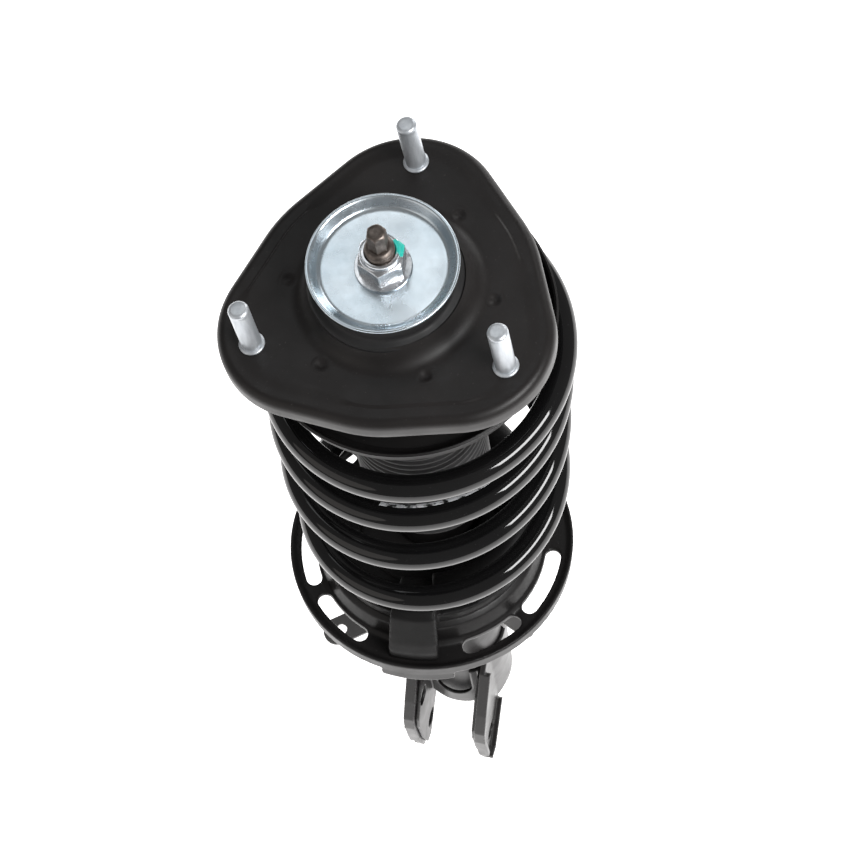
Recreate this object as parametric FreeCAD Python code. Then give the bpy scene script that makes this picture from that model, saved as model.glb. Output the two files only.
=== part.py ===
"""Front suspension strut assembly: coil spring over a twin-tube damper, with its top mount.

Millimetres, +Z up.  The origin is the centre of the tower mounting face, on the damper axis.
The damper is shown at full rebound, which is the zero of its stroke.
"""
import FreeCAD, Part
import math
import os

V = FreeCAD.Vector
ORIGIN = V(0, 0, 0)
UP = V(0, 0, 1)

# ---- top mount ------------------------------------------------------------------------------
PLATE_TILT_X = -4.0          # the tower face leans from the damper axis by these two angles
PLATE_TILT_Y = -2.5
PLATE_CENTRE = (1.2, -0.4)   # the stud circle is this far from the damper axis
PLATE_T = 4.0
PLATE_EDGE_R = 71.8          # round sides between the lobes
PLATE_EDGE_H = 11.0          # depth of the turned-down edge
PLATE_BEND_R = 5.0
LOBE_R = 46.3
LOBE_AT = 40.1
PLATE_BORE_R = 37.0
PLATE_STEP_H = 0.8           # raised panel inside the edge
PLATE_STEP_INSET = 10.0
DIMPLE_AT = 50.0
DIMPLE_R = 3.2
DIMPLE_DEPTH = 1.0
DIMPLES = 6
DIMPLE_PHASE = 38.0
STUD_R = 5.0                 # M10
STUD_LENGTH = 35.0
STUD_PCD_R = 70.0
STUD_PHASE = 69.0
STUDS = 3
STUD_SHANK_R = 5.5           # knurled part, pressed into the plate
STUD_COLLAR_R = 6.6
STUD_COLLAR_H = 1.4
STUD_HEAD_R = 8.0
STUD_HEAD_H = 3.0
STUD_TIP = 1.6

# ---- heights of the stack on the rod ---------------------------------------------------------
ROD_TIP_Z = 59.5
HEX_KEY_Z = 46.0             # the hexagon key starts here
HEX_KEY_AF = 8.5
WASHER_RIM_Z = 29.3
WASHER_FLOOR_Z = 24.3
WASHER_T = 2.5
WASHER_RIM_R = 36.0
WASHER_FLOOR_R = 30.0
NUT_AF = 21.0
NUT_FLANGE_R = 13.6
NUT_FLANGE_H = 3.0
NUT_TOP_Z = 38.0
NUT_COLLAR_R = 9.4
NUT_COLLAR_Z = 41.0
CORE_BOTTOM_Z = -24.0
CORE_R = 15.5
CORE_FLANGE_R = 29.0
CORE_FLANGE_T = 2.5
CUP_T = 2.0
CUP_R = 24.5
CUP_BOTTOM_Z = -42.0
BUMP_BOTTOM_Z = -117.0
BUMP_R = 22.3

# ---- rod and damper --------------------------------------------------------------------------
THREAD_R = 7.0               # M14
ROD_R = 11.0
ROD_SHOULDER_Z = CORE_BOTTOM_Z - CUP_T
ROD_END_Z = -306.0
TUBE_R = 25.0
TUBE_WALL = 2.5
TUBE_TOP_Z = -235.0
TUBE_BOTTOM_Z = -550.0
CYLINDER_R = 18.0
CYLINDER_WALL = 2.0
GUIDE_TOP_Z = -246.0
GUIDE_BOTTOM_Z = -264.0
GAP = 0.3                    # play between bodies that pass each other
FIT = 0.05                   # radial clearance of a running fit

# ---- bearing and upper seat ------------------------------------------------------------------
BALL_R = 3.0
BALL_PITCH_R = 37.0
BALL_Z = -31.5
BALLS = 24
RACE_IN_R = 29.5
RACE_OUT_R = 46.0
SEAT_TOP_Z = -38.0           # underside of the lower race
SEAT_T = 2.5
UPPER_SEAT_X = 5.0           # the spring seat is eccentric to the bearing
UPPER_SEAT_R = 74.0
UPPER_LIP_Z = -30.0

# ---- dust boot -------------------------------------------------------------------------------
BOOT_PLEATS = 30
BOOT_RIDGE_R = 35.2
BOOT_ROOT_R = 32.0
BOOT_WALL = 1.4

# ---- coil spring -----------------------------------------------------------------------------
WIRE_R = 6.9
# heights of the wire centre on the front line, one turn apart, from the bottom end to the top end
COIL_HEIGHTS = (-250.0, -213.7, -155.1, -105.4, -71.1, -52.0)
COIL_R_BOTTOM = 68.0
COIL_R_TOP = 72.5
COIL_FOOT = (-2.8, -10.8)    # centre of the lowest coil
COIL_HEAD = (8.5, -0.5)      # centre of the highest coil
COIL_START = -96.0           # angle of the lower wire end, degrees
PIGTAIL_R = 21.0             # the first turn winds in by this much towards the lower end
COIL_END_TURN = 4.6
PAD_FROM_TURN = 4.36         # the upper pad holds the wire from here to its end
SLEEVE_R = 8.1
SLEEVE_TURNS = 0.6
POINTS_PER_TURN = 20

# ---- lower seat ------------------------------------------------------------------------------
PAN_CENTRE = (-6.7, -13.7, -291.0)
PAN_TILT_X = -6.0
PAN_TILT_Y = 2.3
PAN_T = 3.0
PAN_R = 80.0
PAN_LIP_H = 10.0
PAN_BRIM_Z = -2.0
PAN_PLATFORM_Z = 13.0
PAN_PLATFORM_R = 61.0
SLOT_AT = 69.3
SLOT_HALF_W = 4.3
SLOTS = ((154, 187), (200, 224), (277, 300), (311, 339), (8, 34), (62, 88), (100, 126))
PAD_T = 8.0
PAD_BORE_R = 38.0
PAD_ROOM = 5.0               # between the pad and the tube
STOP_FROM = 239.0
STOP_TO = 265.0
SKIRT_LOBE_FROM = 238.0      # deeper piece of the lip, under the stop block
SKIRT_LOBE_TO = 268.0
SKIRT_LOBE_H = 17.0

# ---- knuckle bracket -------------------------------------------------------------------------
BRACKET_TURN = -25.0         # the ears point this far round from -Y
BRACKET_SHIFT = -1.2         # the gap is this far off the damper axis
GAP_HALF = 17.0
LINER_T = 2.5
EAR_T = 3.5
EAR_LIP = 3.5
BOLT_R = 6.6
BOLT_UPPER = (41.0, -514.0)  # distance in front of the axis, and height
BOLT_LOWER = (38.5, -568.0)
WEB_R = 28.0
WEB_BOTTOM_Z = -546.0
WEB_WINDOW_Z = -530.0
# side view of the ears, from the top of the tube wrap forwards and down, then back up
EAR_OUTLINE = ((-34, -478), (8, -478), (22, -472), (31, -477), (50, -504), (58, -517), (60, -529),
               (58, -563), (53, -585), (44, -588), (30, -575), (17, -562), (8, -556), (-34, -556))
LIP_FRONT = (3, 7)           # lips run along these stretches of the outline
LIP_BACK = (8, 11)
LINER_OUTLINE = ((4, -488), (30, -488), (40, -499), (49, -512), (55.5, -521), (57, -531),
                 (55, -562), (51, -582), (44, -585), (31, -572), (18, -559), (4, -546))

# ---- brackets on the tube --------------------------------------------------------------------
ARM_T = 2.5
HOSE_ARM = {"turn": 192.7, "z": -400.0, "hole_at": 73.0, "hole_r": 3.3, "half_width": 8.5, "reach": 75.5,
            "drop": 24.0}
SENSOR_ARM = {"turn": -49.0, "z": -400.0, "hole_at": 54.0, "hole_r": 2.6, "half_width": 4.6, "reach": 55.5,
              "drop": 20.0}


# ---- helpers ---------------------------------------------------------------------------------
def rod(radius, low, high, at=(0, 0)):
    """Solid cylinder along Z between two heights."""
    return Part.makeCylinder(radius, high - low, V(at[0], at[1], low), UP)


def ring(outer, inner, low, high, at=(0, 0)):
    return rod(outer, low, high, at).cut(rod(inner, low - 1, high + 1, at))


def turned(points):
    """Solid of revolution about Z from (radius, height) points."""
    wire = Part.makePolygon([V(r, 0, z) for r, z in points + points[:1]])
    return Part.Face(wire).revolve(ORIGIN, UP, 360)


def prism(points, low, high):
    """Upright prism over (x, y) points."""
    wire = Part.makePolygon([V(x, y, low) for x, y in points + points[:1]])
    return Part.Face(wire).extrude(V(0, 0, high - low))


def hexagon(across_flats, low, high):
    corner = across_flats / math.sqrt(3)
    angles = [math.radians(60 * k + 12) for k in range(6)]
    return prism([(corner * math.cos(a), corner * math.sin(a)) for a in angles], low, high)


def box(x0, x1, y0, y1, z0, z1):
    return Part.makeBox(x1 - x0, y1 - y0, z1 - z0, V(x0, y0, z0))


def join(shapes):
    return shapes[0].multiFuse(shapes[1:]).removeSplitter()


def placed(shape, tilt_x, tilt_y, at=(0, 0, 0)):
    """Tilts about Y, then about X, then moves."""
    copy = shape.copy()
    copy.rotate(ORIGIN, V(0, 1, 0), tilt_y)
    copy.rotate(ORIGIN, V(1, 0, 0), tilt_x)
    copy.translate(V(*at))
    return copy


def on_plate(shape):
    return placed(shape, PLATE_TILT_X, PLATE_TILT_Y, (*PLATE_CENTRE, 0))


def on_pan(shape):
    return placed(shape, PAN_TILT_X, PAN_TILT_Y, PAN_CENTRE)


def turned_to(shape, degrees):
    copy = shape.copy()
    copy.rotate(ORIGIN, UP, degrees)
    return copy


def polar(radius, degrees):
    a = math.radians(degrees)
    return (radius * math.cos(a), radius * math.sin(a))


def export(name, shape):
    solids = shape.Solids
    shape = solids[0] if len(solids) == 1 else Part.makeCompound(solids)
    if not shape.isValid():
        raise ValueError(name + " is not a valid solid")
    shape.exportStep("parts/" + name + ".step")


# ---- top mount -------------------------------------------------------------------------------
def plate_outline(inset):
    """Three-lobed outline, moved inwards by inset: round sides, straight flanks, round lobes."""
    side = PLATE_EDGE_R - inset
    lobe = LOBE_R - inset
    lean = math.degrees(math.acos((side - lobe) / LOBE_AT))
    edges = []
    for k in range(STUDS):
        axis = STUD_PHASE + 120 * k
        centre = V(*polar(LOBE_AT, axis), 0)
        start = centre + V(*polar(lobe, axis - lean), 0)
        crown = centre + V(*polar(lobe, axis), 0)
        end = centre + V(*polar(lobe, axis + lean), 0)
        edges.append(Part.LineSegment(V(*polar(side, axis - lean), 0), start).toShape())
        edges.append(Part.Arc(start, crown, end).toShape())
        edges.append(Part.LineSegment(end, V(*polar(side, axis + lean), 0)).toShape())
        edges.append(Part.Arc(V(*polar(side, axis + lean), 0), V(*polar(side, axis + 60), 0),
                              V(*polar(side, axis + 120 - lean), 0)).toShape())
    return Part.Face(Part.Wire(edges))


def slab(inset, low, high):
    face = plate_outline(inset)
    face.translate(V(0, 0, low))
    return face.extrude(V(0, 0, high - low))


def round_rim(shape, height, radius):
    """Rounds the outer edges that lie at one height."""
    edges = [e for e in shape.Edges if abs(e.BoundBox.ZMin - height) < 0.01
             and abs(e.BoundBox.ZMax - height) < 0.01]
    return shape.makeFillet(radius, edges)


def mount_plate():
    shell = round_rim(slab(0, -PLATE_EDGE_H, 0), 0, PLATE_BEND_R)
    inside = round_rim(slab(PLATE_T, -PLATE_EDGE_H - 1, -PLATE_T), -PLATE_T, PLATE_BEND_R - PLATE_T)
    step = round_rim(slab(PLATE_STEP_INSET, -1, PLATE_STEP_H), PLATE_STEP_H, PLATE_STEP_H * 0.9)
    shell = shell.cut(inside).fuse(step)
    shell = shell.cut(rod(PLATE_BORE_R, -20, 20))
    ball_r = (DIMPLE_R ** 2 + DIMPLE_DEPTH ** 2) / (2 * DIMPLE_DEPTH)
    for k in range(DIMPLES):
        x, y = polar(DIMPLE_AT, DIMPLE_PHASE + 360 / DIMPLES * k)
        shell = shell.cut(Part.makeSphere(ball_r, V(x, y, PLATE_STEP_H + ball_r - DIMPLE_DEPTH)))
    for k in range(STUDS):
        shell = shell.cut(rod(STUD_SHANK_R, -20, 20, polar(STUD_PCD_R, STUD_PHASE + 120 * k)))
    return on_plate(shell)


def mount_studs():
    foot = PLATE_STEP_H + STUD_COLLAR_H
    studs = []
    for k in range(STUDS):
        at = polar(STUD_PCD_R, STUD_PHASE + 120 * k)
        stud = turned([(0, -PLATE_T - STUD_HEAD_H), (STUD_HEAD_R, -PLATE_T - STUD_HEAD_H),
                       (STUD_HEAD_R, -PLATE_T), (STUD_SHANK_R, -PLATE_T), (STUD_SHANK_R, PLATE_STEP_H),
                       (STUD_COLLAR_R, PLATE_STEP_H), (STUD_COLLAR_R, foot), (STUD_R, foot),
                       (STUD_R, STUD_LENGTH - STUD_TIP), (STUD_R - STUD_TIP, STUD_LENGTH),
                       (0, STUD_LENGTH)])
        stud.translate(V(at[0], at[1], 0))
        studs.append(on_plate(stud))
    return Part.makeCompound(studs)


def mount_rubber(plate):
    boss = turned([(CORE_R, WASHER_FLOOR_Z - WASHER_T), (29, WASHER_FLOOR_Z - WASHER_T),
                   (32, 19), (33.5, 12), (35, -3), (43, -8), (45, -16), (42, -21),
                   (30, -21), (CORE_R, -21)])
    flare = turned([(20, 10.5), (35, 10.5), (39.5, 8.5), (42, 4), (47, PLATE_STEP_H), (47, 0), (20, 0)])
    flare = placed(flare, PLATE_TILT_X, PLATE_TILT_Y)
    rubber = boss.fuse(flare).cut(rod(CORE_R, -30, 30))
    return rubber.cut(plate)


def mount_core():
    """Steel sleeve bonded inside the rubber, with a flange that carries the bearing."""
    return turned([(THREAD_R + FIT, CORE_BOTTOM_Z), (CORE_FLANGE_R, CORE_BOTTOM_Z),
                   (CORE_FLANGE_R, CORE_BOTTOM_Z + CORE_FLANGE_T),
                   (CORE_R, CORE_BOTTOM_Z + CORE_FLANGE_T), (CORE_R, WASHER_FLOOR_Z - WASHER_T),
                   (THREAD_R + FIT, WASHER_FLOOR_Z - WASHER_T)])


def rebound_washer():
    """Dished washer under the rod nut, its rim flared upwards."""
    low = WASHER_FLOOR_Z - WASHER_T
    return turned([(THREAD_R + FIT, low), (WASHER_FLOOR_R, low),
                   (WASHER_FLOOR_R + 2.6, low + 1.1), (WASHER_RIM_R, WASHER_RIM_Z - 1.6),
                   (WASHER_RIM_R, WASHER_RIM_Z - 0.4), (WASHER_RIM_R - 0.5, WASHER_RIM_Z),
                   (WASHER_RIM_R - 1.6, WASHER_RIM_Z - 0.2), (WASHER_FLOOR_R + 1.4, WASHER_FLOOR_Z + 1.4),
                   (WASHER_FLOOR_R - 1.4, WASHER_FLOOR_Z), (THREAD_R + FIT, WASHER_FLOOR_Z)])


def rod_nut():
    flange = turned([(0, WASHER_FLOOR_Z), (NUT_FLANGE_R, WASHER_FLOOR_Z),
                     (NUT_FLANGE_R, WASHER_FLOOR_Z + 1.2), (NUT_AF / 2, WASHER_FLOOR_Z + NUT_FLANGE_H),
                     (0, WASHER_FLOOR_Z + NUT_FLANGE_H)])
    corner = NUT_AF / math.sqrt(3)
    chamfer = turned([(0, WASHER_FLOOR_Z), (corner, WASHER_FLOOR_Z), (corner, NUT_TOP_Z - 1.1),
                      (NUT_AF / 2 - 0.3, NUT_TOP_Z), (0, NUT_TOP_Z)])
    body = hexagon(NUT_AF, WASHER_FLOOR_Z, NUT_TOP_Z).common(chamfer)
    collar = rod(NUT_COLLAR_R, NUT_TOP_Z - 1, NUT_COLLAR_Z)
    bore = rod(THREAD_R + FIT, WASHER_FLOOR_Z - 1, NUT_COLLAR_Z + 1)
    return join([flange, body, collar]).cut(bore)


# ---- rod, piston and stops -------------------------------------------------------------------
def piston_rod():
    shank = turned([(0, ROD_END_Z), (5, ROD_END_Z), (6, ROD_END_Z + 1), (6, -286), (ROD_R, -286),
                    (ROD_R, ROD_SHOULDER_Z - 1), (ROD_R - 1, ROD_SHOULDER_Z),
                    (THREAD_R, ROD_SHOULDER_Z), (THREAD_R, HEX_KEY_Z - 1.5),
                    (THREAD_R - 1.5, HEX_KEY_Z), (0, HEX_KEY_Z)])
    key = hexagon(HEX_KEY_AF, HEX_KEY_Z - 1, ROD_TIP_Z)
    return join([shank, key])


def bump_cup():
    low = CORE_BOTTOM_Z - CUP_T
    return turned([(THREAD_R + FIT, low), (BUMP_R, low), (BUMP_R, CUP_BOTTOM_Z),
                   (CUP_R, CUP_BOTTOM_Z), (CUP_R, CORE_BOTTOM_Z), (THREAD_R + FIT, CORE_BOTTOM_Z)])


def bump_stop():
    """Foam jounce bumper: three convolutions that narrow downwards."""
    top = ROD_SHOULDER_Z
    profile = [(ROD_R, top), (BUMP_R, top), (BUMP_R, CUP_BOTTOM_Z - 6), (18, CUP_BOTTOM_Z - 12),
               (21, CUP_BOTTOM_Z - 22), (20.5, CUP_BOTTOM_Z - 30), (16.5, CUP_BOTTOM_Z - 36),
               (19, CUP_BOTTOM_Z - 46), (18.5, CUP_BOTTOM_Z - 52), (14.5, BUMP_BOTTOM_Z + 4),
               (14, BUMP_BOTTOM_Z), (ROD_R, BUMP_BOTTOM_Z)]
    return turned(profile)


def piston():
    """Sintered piston with oil ports, on the reduced end of the rod."""
    body = turned([(6, -300), (15, -300), (15.9, -298), (15.9, -296.5), (15.1, -296.5), (15.1, -289.5),
                   (15.9, -289.5), (15.9, -288), (15, -287), (6, -287)])
    for k in range(8):
        body = body.cut(rod(1.3, -301, -286, polar(11.0, 45 * k)))
    return body


def piston_band():
    return ring(CYLINDER_R - CYLINDER_WALL - FIT, 15.1, -296.5, -289.5)


def piston_valve():
    """Stack of shims under the piston."""
    return turned([(6, -302.4), (9, -302.4), (9, -301.6), (11.5, -301.6), (11.5, -300.8),
                   (13.5, -300.8), (13.5, -300), (6, -300)])


def piston_nut():
    return hexagon(17, -305.9, -302.4).cut(rod(6, -310, -300))


def rebound_stop():
    """Rubber ring and steel keeper on the rod: they meet the rod guide at full rebound."""
    return ring(14.6, ROD_R, -272.5, GUIDE_BOTTOM_Z - GAP)


def rebound_keeper():
    return ring(14.0, ROD_R, -276, -272.5)


# ---- bearing ---------------------------------------------------------------------------------
def raceway():
    return Part.makeTorus(BALL_PITCH_R, BALL_R + FIT, V(0, 0, BALL_Z), UP)


def bearing_cap():
    """Upper race: it sits on the core flange and does not turn."""
    profile = [(CUP_R, CORE_BOTTOM_Z), (RACE_OUT_R, CORE_BOTTOM_Z), (RACE_OUT_R + 2.5, -27),
               (RACE_OUT_R + 2.5, -34.5), (RACE_OUT_R + 0.7, -34.5), (RACE_OUT_R + 0.7, -30),
               (RACE_OUT_R - 2, -30), (RACE_IN_R, -30), (CUP_R, -30)]
    return turned(profile).cut(raceway())


def bearing_race():
    """Lower race: it turns with the spring seat."""
    return ring(RACE_OUT_R, RACE_IN_R, SEAT_TOP_Z, -33).cut(raceway())


def bearing_cage():
    cage = ring(BALL_PITCH_R + 4, BALL_PITCH_R - 4, BALL_Z - 0.9, BALL_Z + 0.9)
    for k in range(BALLS):
        cage = cage.cut(rod(BALL_R + FIT, -40, -20, polar(BALL_PITCH_R, 360 / BALLS * k)))
    return cage


def bearing_balls():
    at = [polar(BALL_PITCH_R, 360 / BALLS * k) for k in range(BALLS)]
    return Part.makeCompound([Part.makeSphere(BALL_R, V(x, y, BALL_Z)) for x, y in at])


# ---- upper seat, spring and boot -------------------------------------------------------------
def upper_spring_seat():
    """Stamped seat: a flat floor under the bearing, an upturned lip and a spigot for the boot."""
    top = SEAT_TOP_Z
    low = SEAT_TOP_Z - SEAT_T
    edge = UPPER_SEAT_R
    lip = UPPER_LIP_Z
    dish = turned([(0, top), (edge - 8, top), (edge - 4, top + 2), (edge - 2, lip), (edge - 1, lip + 0.8),
                   (edge, lip), (edge - 1.6, top + 0.6), (edge - 6, low), (0, low)])
    dish.translate(V(UPPER_SEAT_X, 0, 0))
    spigot = ring(RACE_IN_R + 1.5, RACE_IN_R - 1.5, low - 6, low + 1)
    return join([dish, spigot]).cut(rod(RACE_IN_R - 1.5, -60, -20))


def upper_insulator():
    """Rubber pad that fills the space between the seat and the last part of the wire."""
    pad = wire_bed(PAD_FROM_TURN, COIL_END_TURN, 9.0, 7.0, 1.0, 40.0)
    room = rod(UPPER_SEAT_R + 3, -90, SEAT_TOP_Z - SEAT_T, (UPPER_SEAT_X, 0))
    return pad.common(room).cut(spring_wire(WIRE_R + 0.1))


def height_at(turn):
    """Height of the wire on the front line: a smooth curve through COIL_HEIGHTS."""
    last = len(COIL_HEIGHTS) - 1
    k = min(int(turn), last - 1)
    t = turn - k
    h = COIL_HEIGHTS
    rise_in = (h[k + 1] - h[k - 1]) / 2 if k > 0 else 4.0
    rise_out = (h[k + 2] - h[k]) / 2 if k + 2 <= last else WIRE_R * 2 + 2
    return (h[k] * (2 * t ** 3 - 3 * t ** 2 + 1) + rise_in * (t ** 3 - 2 * t ** 2 + t)
            + h[k + 1] * (3 * t ** 2 - 2 * t ** 3) + rise_out * (t ** 3 - t ** 2))


def wire_point(turn):
    """Centre of the wire after so many turns from its lower end."""
    share = turn / COIL_END_TURN
    ease = max(0.0, 1 - turn)
    radius = COIL_R_BOTTOM + (COIL_R_TOP - COIL_R_BOTTOM) * share - PIGTAIL_R * ease ** 2 * (3 - 2 * ease)
    dx, dy = polar(radius, COIL_START + 360 * turn)
    lean = max(0.0, 1 - turn / 1.5)
    tilt = (math.tan(math.radians(PAN_TILT_X)) * (dy + COIL_R_BOTTOM)
            - math.tan(math.radians(PAN_TILT_Y)) * dx)
    x = COIL_FOOT[0] + (COIL_HEAD[0] - COIL_FOOT[0]) * share + dx
    y = COIL_FOOT[1] + (COIL_HEAD[1] - COIL_FOOT[1]) * share + dy
    return V(x, y, height_at(turn) + lean * tilt)


def spring_wire(radius, first=0.0, last=COIL_END_TURN):
    count = int((last - first) * POINTS_PER_TURN)
    points = [wire_point(first + (last - first) * k / count) for k in range(count + 1)]
    curve = Part.BSplineCurve()
    curve.interpolate(points)
    path = Part.Wire([curve.toShape()])
    section = Part.Wire([Part.makeCircle(radius, points[0], curve.tangent(curve.FirstParameter)[0])])
    return path.makePipeShell([section], True, True)


def wire_bed(first, last, inwards, outwards, low, high):
    """Curved block that follows the wire: low and high are heights from the wire's centre."""
    sections = []
    steps = max(4, int((last - first) * POINTS_PER_TURN))
    for k in range(steps + 1):
        turn = first + (last - first) * k / steps
        centre = wire_point(turn)
        out = V(*polar(1.0, COIL_START + 360 * turn), 0)
        inner = centre - out * inwards
        outer = centre + out * outwards
        corners = [inner + V(0, 0, low), outer + V(0, 0, low), outer + V(0, 0, high), inner + V(0, 0, high)]
        sections.append(Part.makePolygon(corners + corners[:1]))
    return Part.makeLoft(sections, True, False)


def coil_sleeve():
    """Thin sleeve that keeps the dead coil off its neighbour and its seat."""
    tube = spring_wire(SLEEVE_R, 0.02, SLEEVE_TURNS)
    return tube.cut(spring_wire(WIRE_R + GAP, 0.0, 1.0))


def dust_boot():
    """Pleated dust boot: a cuff on the spigot of the upper seat, fine pleats and a lower cuff."""
    top = SEAT_TOP_Z - SEAT_T
    low = TUBE_TOP_Z - 9
    pitch = (top - 12 - TUBE_TOP_Z) / BOOT_PLEATS
    outer = [(34.5, top), (34.5, top - 9)]
    for k in range(BOOT_PLEATS):
        z = top - 10 - pitch * k
        outer += [(BOOT_RIDGE_R, z - pitch * 0.35), (BOOT_RIDGE_R, z - pitch * 0.5),
                  (BOOT_ROOT_R, z - pitch * 0.9), (BOOT_ROOT_R, z - pitch)]
    inner = [(r - BOOT_WALL, z) for r, z in reversed(outer[2:])]
    cuff = [(TUBE_R + 4, low + 7), (TUBE_R + 4, low), (TUBE_R + 2 + GAP, low), (TUBE_R + 2 + GAP, low + 6)]
    return turned(outer + cuff + inner + [(32.5, top - 9), (32.5, top)])


# ---- damper ----------------------------------------------------------------------------------
def outer_tube():
    return ring(TUBE_R, TUBE_R - TUBE_WALL, TUBE_BOTTOM_Z + 6, TUBE_TOP_Z)


def bottom_cap():
    """Pressed end cap, its edge rounded, welded into the tube."""
    z = TUBE_BOTTOM_Z
    cap = turned([(0, z + 2), (10, z + 2), (14, z), (TUBE_R - 5, z), (TUBE_R - 1.6, z + 1.6),
                  (TUBE_R, z + 5), (TUBE_R, z + 6), (TUBE_R - TUBE_WALL, z + 6),
                  (TUBE_R - TUBE_WALL, z + 12), (TUBE_R - 5.5, z + 12), (TUBE_R - 5.5, z + 5), (0, z + 5)])
    return cap


def inner_cylinder():
    return ring(CYLINDER_R, CYLINDER_R - CYLINDER_WALL, TUBE_BOTTOM_Z + 14, GUIDE_BOTTOM_Z)


def base_valve():
    z = TUBE_BOTTOM_Z + 5
    body = turned([(0, z), (TUBE_R - 5.5, z), (TUBE_R - 5.5, z + 6), (CYLINDER_R, z + 9),
                   (CYLINDER_R - CYLINDER_WALL, z + 9), (CYLINDER_R - CYLINDER_WALL, z + 15), (0, z + 15)])
    for k in range(6):
        body = body.cut(rod(1.5, z - 1, z + 20, polar(9.0, 60 * k)))
    return body


def rod_guide():
    return turned([(ROD_R + 1.5, GUIDE_BOTTOM_Z), (CYLINDER_R, GUIDE_BOTTOM_Z),
                   (CYLINDER_R, GUIDE_BOTTOM_Z + 5), (TUBE_R - TUBE_WALL, GUIDE_BOTTOM_Z + 8),
                   (TUBE_R - TUBE_WALL, GUIDE_TOP_Z), (ROD_R + 1.5, GUIDE_TOP_Z)])


def guide_bush():
    return ring(ROD_R + 1.5, ROD_R + FIT, GUIDE_BOTTOM_Z, GUIDE_TOP_Z)


def oil_seal():
    return turned([(ROD_R + FIT, GUIDE_TOP_Z), (TUBE_R - TUBE_WALL, GUIDE_TOP_Z),
                   (TUBE_R - TUBE_WALL, TUBE_TOP_Z - 1), (16, TUBE_TOP_Z - 1), (13.5, TUBE_TOP_Z - 4),
                   (ROD_R + FIT, TUBE_TOP_Z - 3)])


def striker_cap():
    """Pressed cap over the end of the tube, which the bump stop meets."""
    z = TUBE_TOP_Z
    return turned([(ROD_R + 1.2, z), (TUBE_R, z), (TUBE_R, z - 13), (TUBE_R + 2, z - 13), (TUBE_R + 2, z - 1),
                   (TUBE_R + 2, z), (TUBE_R, z + 2), (ROD_R + 1.2, z + 2)])


# ---- lower seat ------------------------------------------------------------------------------
def slot_cutter(first, last):
    """Curved slot with round ends, in the seat's own frame."""
    middle = (first + last) / 2
    band = ring(SLOT_AT + SLOT_HALF_W, SLOT_AT - SLOT_HALF_W, -30, 30)
    reach = 200
    sector = prism([(0, 0), polar(reach, first), polar(reach, middle), polar(reach, last)], -29, 29)
    ends = [rod(SLOT_HALF_W, -29, 29, polar(SLOT_AT, a)) for a in (first, last)]
    return join([band.common(sector)] + ends)


def lower_spring_seat():
    """Stamped pan: raised platform for the pad, slotted brim, turned-down lip, welded collar."""
    t = PAN_T
    high = PAN_PLATFORM_Z
    brim = PAN_BRIM_Z
    edge = PAN_PLATFORM_R
    pan = turned([(0, high), (edge - 3, high), (edge, high - 2.5), (edge + 2.2, brim + 2.5),
                  (edge + 5, brim), (PAN_R - 4, brim), (PAN_R - 2, -0.6), (PAN_R - 1, 0),
                  (PAN_R, -1), (PAN_R - 0.6, -PAN_LIP_H), (PAN_R - 2.8, -PAN_LIP_H),
                  (PAN_R - 3, -4), (PAN_R - 5, brim - t), (edge + 3, brim - t), (edge - 0.6, brim),
                  (edge - 3.2, high - 5), (edge - 5, high - t), (0, high - t)])
    for first, last in SLOTS:
        pan = pan.cut(slot_cutter(first, last))
    lobe = ring(PAN_R - 0.6, PAN_R - 2.8, -SKIRT_LOBE_H, -4)
    lobe = lobe.common(prism([(0, 0), polar(200, SKIRT_LOBE_FROM), polar(200, SKIRT_LOBE_TO)], -60, 0))
    pan = on_pan(join([pan, lobe]))
    collar = ring(TUBE_R + 3.4, TUBE_R, PAN_CENTRE[2] - 22, PAN_CENTRE[2] + 11)
    return join([pan, collar]).cut(rod(TUBE_R, -400, -200))


def lower_insulator():
    """Rubber pad under the spring, with a helical ramp and the block that stops the wire end."""
    high = PAN_PLATFORM_Z
    base = on_pan(ring(PAN_PLATFORM_R - 2.5, PAD_BORE_R, high, high + PAD_T))
    ramp = wire_bed(0.0, 0.62, 10.0, 5.5, -40.0, -2.0).common(on_pan(rod(120, high, high + 60)))
    edge = PAN_PLATFORM_R
    block = prism([polar(42, STOP_FROM), polar(42, STOP_TO), polar(77, STOP_TO - 3),
                   polar(77, STOP_FROM + 2)], -40, 60)
    shape = turned([(40, high), (edge - 2.8, high), (edge + 0.2, high - 2), (edge + 3.4, PAN_BRIM_Z + 1.4),
                    (edge + 6, PAN_BRIM_Z), (75, PAN_BRIM_Z), (75.5, 8), (73.5, 14), (66, 31),
                    (62, 34), (40, 34)])
    pad = join([base, ramp, on_pan(block.common(shape))]).cut(rod(TUBE_R + PAD_ROOM, -400, -200))
    return pad.cut(spring_wire(SLEEVE_R + 0.1, 0.0, 1.0))


# ---- knuckle bracket -------------------------------------------------------------------------
# the bracket is drawn with its ears along -Y and their faces along X, then turned to its place
def side_prism(points, half_width):
    """Prism across the bracket over (distance in front of the axis, height) points."""
    corners = [V(-half_width, -u, z) for u, z in points]
    return Part.Face(Part.makePolygon(corners + corners[:1])).extrude(V(2 * half_width, 0, 0))


def bolt_holes(shape):
    for u, z in (BOLT_UPPER, BOLT_LOWER):
        shape = shape.cut(Part.makeCylinder(BOLT_R, 120, V(-60, -u, z), V(1, 0, 0)))
    return shape


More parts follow.
